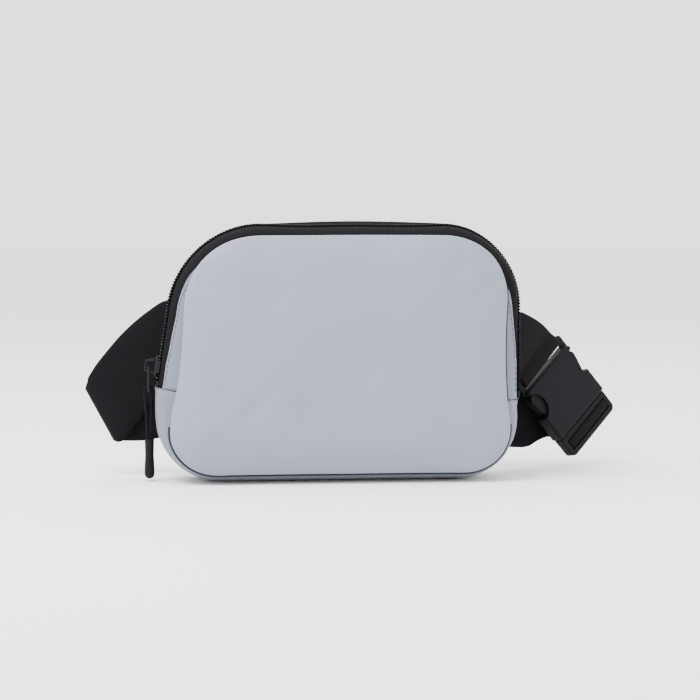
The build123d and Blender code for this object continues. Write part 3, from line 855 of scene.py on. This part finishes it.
for label, s0, s1 in (("left", 0.0, FACING_LEFT), ("right", FACING_RIGHT, UPPER.length)):
    strip = band(
        f"front_facing_{label}", UPPER, lambda s: (SEAM_FRONT, facing_edge(s)), 7, 0.75, NYLON_PAINTED_SHADE,
        facing_raise, 2.2, s0, s1,
    )
    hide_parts("front_facing")
    open_with_zip(strip)
    # The facing stitches use the darker thread: grey thread with painted shade.
    chain = seam_stitches(
        f"front_facing_stitches_{label}", lambda s: facing_edge(s) - 1.3, facing_raise,
        THREAD_PAINTED_SHADE, s0=s0 + 2, s1=s1 - 3,
    )
    open_with_zip(chain)
rear_facing = band(
    "rear_facing_cloth", UPPER, lambda s: (12.0, SEAM_REAR), 8, 0.75, NYLON_PAINTED_SHADE,
    facing_raise,
)
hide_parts("rear_facing")
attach(rear_facing, "pouch")
rear_chain = seam_stitches(
    "rear_facing_stitches", lambda s: 13.3, facing_raise, THREAD_GREY
)
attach(rear_chain, "pouch")


def tape_raise(s, y):
    """The tape lies under the facings, and comes up to the front seam between them."""
    ridge = 0.16 * smooth_step(1.3, 0.5, abs(abs(y - ZIP_Y) - 5.4))
    free = smooth_step(FACING_LEFT - 30, FACING_LEFT, s)
    free *= smooth_step(FACING_RIGHT + 30, FACING_RIGHT, s)
    seam = 1.6 * smooth_step(-19.6, -21.0, y)
    if y > 0:
        rear = smooth_step(1.5, 5.0, y) * smooth_step(12.0, 9.0, y) * 1.3
        return ridge - 0.8 + along_top(s) * (rear - 0.5 * smooth_step(9.5, 12.0, y))
    puff = 0.35 * smooth_step(0, 8, y - SEAM_FRONT) * smooth_step(-3, -9, y)
    return ridge - 0.8 + free * (0.35 + puff) - seam


front_tape = band(
    "front_zip_tape_cloth", UPPER, lambda s: (-20.9, -1.5), 26, 0.5, TAPE, tape_raise
)
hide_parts("front_zip_tape")
open_with_zip(front_tape)
rear_tape = band(
    "rear_zip_tape_cloth", UPPER, lambda s: (-0.5, 17.0), 20, 0.5, TAPE, tape_raise
)
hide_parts("rear_zip_tape")
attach(rear_tape, "pouch")


def coil(name, place_at, length, pitch, phase, half_w, half_h, wire):
    """A nylon coil: place_at(s, across, up) gives points on and beside its line."""
    turn_points = 10
    total = int(length / pitch) * turn_points
    centres = []
    for k in range(total + 1):
        angle = 2 * pi * (k / turn_points + phase)
        s = k / turn_points * pitch + 0.5
        centres.append(place_at(s, half_w * cos(angle), half_h * sin(angle)))
    verts, uvs = [], []
    for k, c in enumerate(centres):
        run = (centres[min(k + 1, total)] - centres[max(k - 1, 0)]).normalized()
        helper = Vector((0, 0, 1)) if abs(run.z) < 0.9 else Vector((1, 0, 0))
        a = run.cross(helper).normalized()
        b = run.cross(a)
        for j in range(5):
            turn = 2 * pi * j / 5
            verts.append(c + (a * cos(turn) + b * sin(turn)) * wire)
            uvs.append((j, k * 0.3))
    faces = ring_faces(total + 1, 5)
    faces += [tuple(range(start, start + 5)) for start in (0, total * 5)]
    return new_piece(name, verts, faces, uvs, COIL)


def zip_row(side):
    def place_at(s, across, up):
        inset = -0.1 + sag_of_zip(UPPER.point(s), ZIP_Y)
        return UPPER.place(s, inset - up, ZIP_Y + side * 1.75 + across)

    name = "front_zip_coil_row" if side < 0 else "rear_zip_coil_row"
    phase = 0.0 if side < 0 else 0.25
    return coil(name, place_at, UPPER.length - 1.4, 1.6, phase, 1.75, 0.80, 0.42)


front_coil = zip_row(-1)
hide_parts("front_zip_coil")
open_with_zip(front_coil)
rear_coil = zip_row(1)
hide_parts("rear_zip_coil")
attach(rear_coil, "pouch")

for label, y in (("front", -4.9), ("rear", 2.9)):
    chain = seam_stitches(
        f"{label}_coil_stitches", lambda s, y=y: y, tape_raise, THREAD_BLACK,
        pitch=1.35, length=1.0,
    )
    if label == "front":
        open_with_zip(chain)
    else:
        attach(chain, "pouch")


def seam_line(name, centres, radius):
    """A dark thin tube along centres: a seam's thread, with painted shadow of the seam's groove."""
    verts, uvs = [], []
    for n, c in enumerate(centres):
        run = centres[min(n + 1, len(centres) - 1)] - centres[max(n - 1, 0)]
        side = run.cross(TO_WEARER if abs(run.normalized().y) < 0.7 else Vector((0, 0, 1)))
        side.normalize()
        rise = run.normalized().cross(side)
        for k in range(6):
            a = pi * k / 3
            verts.append(c + (side * sin(a) + rise * cos(a)) * radius)
            uvs.append((k * 0.5, n * 2.5))
    return new_piece(name, verts, ring_faces(len(centres), 6), uvs, THREAD_PAINTED_SHADE)


# Dark tubes at the lower front seam, the right facing's seam and the zip ends: thread, and painted
# shadow in the seams.
rim = [
    OUTLINE.place(s, seam_inset(OUTLINE.point(s)) - 0.3, SEAM_FRONT - 0.2)
    for s in OUTLINE.spots(2.5, 0.0, OUTLINE.length - 0.1)
    if OUTLINE.point(s).y < 30.0
]
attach(seam_line("front_seam_thread_and_painted_shadow", rim, 0.5), "front")
cleft = [
    UPPER.place(s, seam_inset(UPPER.point(s)) - 0.25, SEAM_FRONT - 0.1)
    for s in UPPER.spots(2.5, where_z(103.0, False), UPPER.length)
]
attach(seam_line("right_facing_seam_painted_shadow", cleft, 0.32), "front")
for label, s in (("left", 0.0), ("right", UPPER.length)):
    across = [UPPER.place(s, skin(UPPER, s, y) + 0.15, y) for y in steps(-20.6, 17.0, 2.0)]
    line = seam_line(f"{label}_zip_end_seam_painted_shadow", across, 0.42)
    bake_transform(line)


for label, s in (("left", LOWER.length - 2.2), ("right", 2.2)):
    n = LOWER.normal(s)
    places = []
    for y0 in steps(-18.5, 17.5, 2.8)[:-1]:
        ends = [LOWER.place(s, skin(LOWER, s, y) - gusset_raise(s, y), y) for y in (y0, y0 + 2.0)]
        places.append((*ends, Vector((-n.x, 0, -n.y))))
    row = stitch_mesh(f"{label}_zip_end_stitches", places, THREAD_GREY)
    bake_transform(row)


def seam_ring(name, inset, y0, y1, body, node):
    """Bound seam allowance inside the pouch: a soft flat tube."""
    spots = OUTLINE.spots(3.0)
    verts, uvs = [], []
    half_y, half_w = abs(y1 - y0) / 2, 2.6
    n = 10
    for s in spots:
        p = OUTLINE.place(s, 0, 0)
        for k in range(n):
            a = 2 * pi * k / n
            across = inset + 2.75 + half_w * cos(a) + wrinkle(p, 12, 6.0) * 0.2
            verts.append(OUTLINE.place(s, across, (y0 + y1) / 2 + half_y * sin(a)))
            uvs.append((k * 0.7, s))
    faces = ring_faces(len(spots), n, closed=True)
    piece = new_piece(name, verts, faces, uvs, BINDING)
    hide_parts(node)
    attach(piece, body)


seam_ring("front_binding", 8.9, -20.4, -19.2, "front", "front_seam_binding")
seam_ring("rear_binding", 3.4, 15.8, 17.0, "pouch", "rear_seam_binding")


# ---- Back panel with its pocket ----
POCKET_X, POCKET_Z, POCKET_LEN, POCKET_H = 4.0, 103.0, 118.0, 9.0


def back_surface(name, inset0, y_at, rings, mat, hole=True, step=3.0):
    """A flat padded sheet from the outline in to the pocket's slot, or to the middle."""
    spots = OUTLINE.spots(step)
    verts, uvs = [], []
    radius = POCKET_H / 2
    reach = (POCKET_LEN / 2 - radius) if hole else 60.0
    spine_z = POCKET_Z if hole else MIDDLE.y
    for j in range(rings + 1):
        t = j / rings
        for s in spots:
            start = OUTLINE.place(s, inset0, 0)
            flat = Vector((start.x, start.z))
            spine = Vector((POCKET_X + min(max(flat.x - POCKET_X, -reach), reach), spine_z))
            gap = flat - spine
            end = spine + gap.normalized() * (radius if hole else 0.4)
            p = flat.lerp(end, t)
            near = min((flat - p).length, (p - end).length if hole else 99.0)
            verts.append(Vector((p.x, y_at(Vector((p.x, 0, p.y)), near), p.y)))
            uvs.append((p.x, p.y))
    return new_piece(name, verts, ring_faces(rings + 1, len(spots)), uvs, mat)


def back_face_y(p, near):
    pad = 0.9 * smooth_step(0, 12, near) + 0.5 * smooth_step(0, 2.0, near) - 0.9
    return 22.15 + pad + wrinkle(p, 26, 8.0) * 0.25 * smooth_step(0, 8, near)


back_cloth = back_surface("back_panel_cloth", 2.2, back_face_y, 26, NYLON)
thicken(back_cloth, 0.7, subdivide=1, offset=0.0)
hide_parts("back_panel")
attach(back_cloth, "pouch")

back_foam = back_surface(
    "back_foam", 3.4, lambda p, near: 20.0, 12, FOAM, step=5.0
)
thicken(back_foam, 0.9, offset=0.0)
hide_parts("back_padding")
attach(back_foam, "pouch")

back_inside = back_surface(
    "back_lining_cloth", 3.4, lambda p, near: 17.55 + wrinkle(p, 20, 12.0) * 0.12, 16,
    LINING, hole=False, step=4.0,
)
thicken(back_inside, 0.3, offset=0.0)
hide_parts("back_lining")
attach(back_inside, "pouch")


def sheet_grid(name, x0, x1, z0, z1, y_at, thickness, mat, corner=0.0, cell=3.0):
    """An upright sheet with rounded lower corners, y_at(x, z) deep."""
    nx, nz = ceil((x1 - x0) / cell), ceil((z1 - z0) / cell)
    verts, uvs, faces = [], [], []
    for j in range(nz + 1):
        z = z0 + (z1 - z0) * j / nz
        low = max(0.0, corner - (z - z0))
        cut = corner - sqrt(max(0.0, corner**2 - low**2))
        for i in range(nx + 1):
            x = x0 + cut + (x1 - x0 - 2 * cut) * i / nx
            verts.append(Vector((x, y_at(x, z), z)))
            uvs.append((x, z))
    for j in range(nz):
        for i in range(nx):
            a = j * (nx + 1) + i
            faces.append((a, a + 1, a + nx + 2, a + nx + 1))
    piece = new_piece(name, verts, faces, uvs, mat)
    thicken(piece, thickness, offset=0.0)
    return piece


pocket_bag = sheet_grid(
    "pocket_lining_cloth", -59, 67, 24, 115,
    lambda x, z: 18.6 + wrinkle(Vector((x, 0, z)), 18, 14.0) * 0.15, 0.3, LINING, 6.0,
)
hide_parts("pocket_lining")
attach(pocket_bag, "pouch")
slip = sheet_grid(
    "slip_pocket_cloth", -62, 66, 12, 63,
    lambda x, z: 16.5 - 0.35 * sin(pi * (x + 62) / 128) * smooth_step(20, 60, z)
    + wrinkle(Vector((x, 0, z)), 16, 15.0) * 0.15,
    0.4, LINING, 9.0,
)
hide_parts("slip_pocket")
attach(slip, "pouch")
slip_hem = sheet_grid(
    "slip_pocket_hem_cloth", -62, 66, 62.4, 66.8,
    lambda x, z: 16.3 - 0.3 * sin(pi * (x + 62) / 128), 1.0, BINDING, 0.0, 2.2,
)
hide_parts("slip_pocket_hem")
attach(slip_hem, "pouch")

for side, label in ((-1, "lower"), (1, "upper")):
    z0, z1 = sorted((POCKET_Z + side * 0.45, POCKET_Z + side * 10.8))
    tape = sheet_grid(
        f"pocket_tape_{label}_cloth", -57, 65, z0, z1, lambda x, z: 20.6, 0.5, TAPE,
        0.0, 2.0,
    )
    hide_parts(f"pocket_zip_tape_{label}")
    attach(tape, "pouch")
    row = coil(
        f"pocket_coil_{label}_row",
        lambda s, across, up, side=side: Vector(
            (-52 + s, 21.65 + up, POCKET_Z + side * 1.55 + across)
        ),
        110.0, 1.5, 0.0, 1.45, 0.6, 0.3,
    )
    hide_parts(f"pocket_zip_coil_{label}")
    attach(row, "pouch")

slot_stitches = []
for side in (-1, 1):
    for x in steps(-52, 60, 3.0)[:-1]:
        z = POCKET_Z + side * (POCKET_H / 2 + 2.0)
        y = back_face_y(Vector((x, 0, z)), 2.0) + 0.32
        slot_stitches.append((Vector((x, y, z)), Vector((x + 2.3, y, z)), TO_WEARER))
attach(stitch_mesh("pocket_stitches", slot_stitches, THREAD_GREY), "pouch")

rim_stitches = []
for s in OUTLINE.spots(3.0):
    a, b = OUTLINE.place(s, 4.2, 0), OUTLINE.place(s + 2.2, 4.2, 0)
    for p in (a, b):
        p.y = back_face_y(p, 3.2) + 0.3
    rim_stitches.append((a, b, TO_WEARER))
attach(stitch_mesh("back_rim_stitches", rim_stitches, THREAD_GREY), "pouch")


# ---- Waist strap ----
YAW, ROLL, TILT, BUCKLE_LEN = radians(28.0), radians(51.0), radians(9.8), 54.0
LEVEL = Vector((cos(YAW), sin(YAW), 0))
UPRIGHT = Vector((-sin(YAW) * sin(TILT), cos(YAW) * sin(TILT), cos(TILT)))
ALONG = LEVEL * cos(ROLL) - UPRIGHT * sin(ROLL)
ACROSS = LEVEL * sin(ROLL) + UPRIGHT * cos(ROLL)
FACING = ALONG.cross(ACROSS)
BUCKLE = Vector((129.4, 45.0, 38.4)) - ALONG * (BUCKLE_LEN / 2)


WEB_LOW, WEB_HIGH, WEB_HALF, WEB_THICK = 18.5, 53.5, 17.5, 1.3


def in_buckle(x, y, h):
    return BUCKLE + ALONG * x + ACROSS * y + FACING * h


def upright(x, y, z_low=WEB_LOW, z_high=WEB_HIGH):
    return Vector((x, y, z_high)), Vector((x, y, z_low))


def edge_rows(rows):
    return [(Vector(a), Vector(b)) for a, b in rows]


def filled(line, gap):
    """The line's points with more between them, so that none are much over gap apart."""
    out = []
    for p, q in zip(line, line[1:]):
        count = max(1, ceil((q - p).length / gap))
        out += [p.lerp(q, k / count) for k in range(count)]
    return out


# First layer of the free strap, from the seam to the fold at the far left.
wing = edge_rows([
    ((-79, 23.0, 91.5), (-79, 23.0, 56.5)),
    ((-84, 23.0, 93.0), (-83, 23.0, 55.2)),
    ((-90, 23.3, 92.3), (-87, 23.0, 51.8)),
    ((-97, 24.2, 87.8), (-90.5, 23.4, 46.8)),
    ((-104, 24.9, 82.4), (-94.5, 23.9, 40.8)),
    ((-112, 25.0, 74.9), (-99, 24.1, 34.6)),
    ((-119.8, 24.4, 66.0), (-104, 23.8, 27.8)),
    ((-126.4, 23.4, 57.6), (-108.5, 23.3, 22.0)),
    ((-129.8, 23.0, 52.0), (-112.2, 23.0, 18.2)),
])
crease = Vector((-0.889, 0, -0.458))
top, bottom = Vector((-129.9, 25.6, 50.3)), Vector((-112.3, 25.6, 17.6))
fold = []
for k in range(1, 8):
    a = pi * k / 8
    shift = crease * (2.6 * sin(a)) + Vector((0, -2.6 * cos(a), 0))
    pinch = (bottom - top).normalized() * (2.6 * sin(a))
    fold.append((top + shift + pinch, bottom + shift - pinch * 0.8))
back_run = edge_rows([
    ((-128.2, 28.2, 48.8), (-111.6, 28.2, 18.0)),
    ((-113, 28.2, 50.3), (-101, 28.2, 18.0)),
    ((-96, 28.2, 51.6), (-89, 28.2, 19.7)),
    ((-79, 28.2, 53.0), (-76, 28.2, 19.3)),
])
turns = rounded(
    [(-62.0, 28.2), (70.0, 28.2), (70.0, 30.8), (-70.0, 30.8), (-70.0, 33.4), (73.0, 33.4)],
    [1.28] * 4,
)
bundle = filled(turns, 4.0) + [turns[-1]]


def bundle_row(p):
    sag = wrinkle(Vector((p.x, p.y * 6, 0)), 30, 16.0) * 0.5
    return upright(p.x, p.y, WEB_LOW + sag, WEB_HIGH + sag)


strap_rows = hermite(wing, 3.0) + fold + hermite(back_run + [upright(-66, 28.2)], 3.0)
strap_rows += [bundle_row(p) for p in bundle]
free_strap = ribbon("free_strap_webbing", strap_rows, 1.35, WEBBING, across=13)
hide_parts("strap_free")
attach(free_strap, "pouch")


def centred(middle, width_dir):
    width = Vector(width_dir).normalized() * WEB_HALF
    return middle + width, middle - width


# Last stretch: out from behind the pouch and up through the plug's outer slot.
run_rows = [
    upright(73.0, 33.4),
    upright(80.0, 34.3, 16.6, 51.6),
    centred(Vector((91.0, 38.0, 30.6)), (0.10, 0.10, 0.97)),
    centred(Vector((106.0, 44.4, 27.6)), (0.28, 0.10, 0.94)),
    centred(Vector((117.0, 49.6, 26.8)), (0.38, 0.23, 0.87)),
    centred(in_buckle(33.0, -6.0, -9.6), (0.49, 0.34, 0.77)),
    centred(in_buckle(41.0, 0.0, -8.4), ACROSS),
    centred(in_buckle(46.5, 0.0, -7.6), ACROSS),
]
over_bar = rounded(
    [(47.2, -7.6), (49.8, -7.0), (49.8, 2.7), (45.4, 2.7), (45.4, -5.6), (44.0, -5.75)],
    [1.8, 1.2, 1.2, 1.0],
)
run_rows = hermite(run_rows, 2.5)
run_rows += [centred(in_buckle(p.x, 0, p.y), ACROSS) for p in over_bar]
strap_run = ribbon("strap_run_webbing", run_rows, WEB_THICK, WEBBING)
tuple(in_buckle(40.0, 0, -8) * MM)
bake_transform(strap_run)
tail_rows = [centred(in_buckle(x, 0, -5.8 - 0.02 * (44 - x)), ACROSS) for x in steps(43.6, 12, 3)]
strap_tail = ribbon("strap_tail_webbing", tail_rows, WEB_THICK, WEBBING)
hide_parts("strap_end")
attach(strap_tail, "plug")

# Short strap: from the right seam, twisting round to the socket's bar and back.
short_rows = edge_rows([
    ((81.0, 23.1, 86.0), (81.0, 23.1, 51.0)),
    ((88.0, 23.1, 86.2), (87.0, 23.1, 50.6)),
    ((95.0, 24.6, 86.7), (91.5, 23.6, 49.9)),
    ((102.0, 28.2, 85.6), (94.0, 24.0, 49.2)),
    ((108.6, 33.8, 82.8), (96.4, 24.6, 48.6)),
    ((116.0, 40.4, 78.4), (98.4, 27.0, 49.6)),
])
short_rows.append(centred(in_buckle(-3.2, 0, 1.3), ACROSS))
short_rows = hermite(short_rows, 2.2)
loop = rounded(
    [(-2.4, 1.6), (0.2, 2.65), (4.6, 2.65), (4.6, -2.65), (0.2, -2.65), (-3.5, -0.9),
     (-10.5, -0.9)],
    [3.0, 2.2, 2.2, 3.0, 4.0],
)
for p in loop[1:-1]:
    skew = smooth_step(1.5, 4.2, p.x)
    short_rows.append(
        (in_buckle(p.x - 0.55 * skew, WEB_HALF, p.y), in_buckle(p.x + 0.9 * skew, -WEB_HALF, p.y))
    )


def pleat(along, share):
    return 1.1 * sin(share * 2.5 * pi) * smooth_step(2, 12, along) * smooth_step(30, 16, along)


short_strap = ribbon(
    "short_strap_webbing", short_rows, WEB_THICK, WEBBING, bow=pleat, across=17
)
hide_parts("strap_fixed")
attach(short_strap, "pouch")


# A sewn box with a cross in it at each strap's sewn end.
for label, x, z, width in (("left", -88.5, 59.0, 8), ("right", 81.8, 53.5, 6.5)):
    corner, right, up = Vector((x, 23.85, z)), Vector((width, 0, 0)), Vector((0, 0, 30))
    corners = [corner, corner + right, corner + right + up, corner + up]
    lines = list(zip(corners, corners[1:] + corners[:1]))
    lines += [(corners[0], corners[2]), (corners[1], corners[3])]
    places = []
    for a, b in lines:
        count = max(1, int((b - a).length / 2.6))
        for k in range(count):
            places.append((a.lerp(b, k / count), a.lerp(b, (k + 0.75) / count), TO_WEARER))
    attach(stitch_mesh(f"{label}_box_tack", places, THREAD_BLACK, 0.22), "pouch")

# Elastic keeper round the folded length.
keeper_path = rounded(
    [(26.65, 36.0), (26.65, 54.35), (34.95, 54.35), (34.95, 17.65), (26.65, 17.65), (26.65, 36.0)],
    [1.4, 1.4, 1.4, 1.4],
)
keeper_rows = [(Vector((-7.0, *at)), Vector((11.0, *at))) for at in filled(keeper_path, 3.0)]
keeper = ribbon("strap_keeper_elastic", keeper_rows, 0.85, ELASTIC, closed=True)
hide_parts("strap_keeper")
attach(keeper, "keeper")


# ---- Hard parts from the CAD ----
finishes = {
    METAL: ("main_slider", "main_pull_tab", "pocket_slider", "pocket_pull_tab", "zip_stops"),
    RUBBER: ("pull_tip",),
    PLASTIC: ("buckle_socket", "buckle_plug", "buckle_prong_upper", "buckle_prong_lower"),
}
for finish, names in finishes.items():
    for name in names:
        for place in nodes[name].material_slots:
            place.material = finish
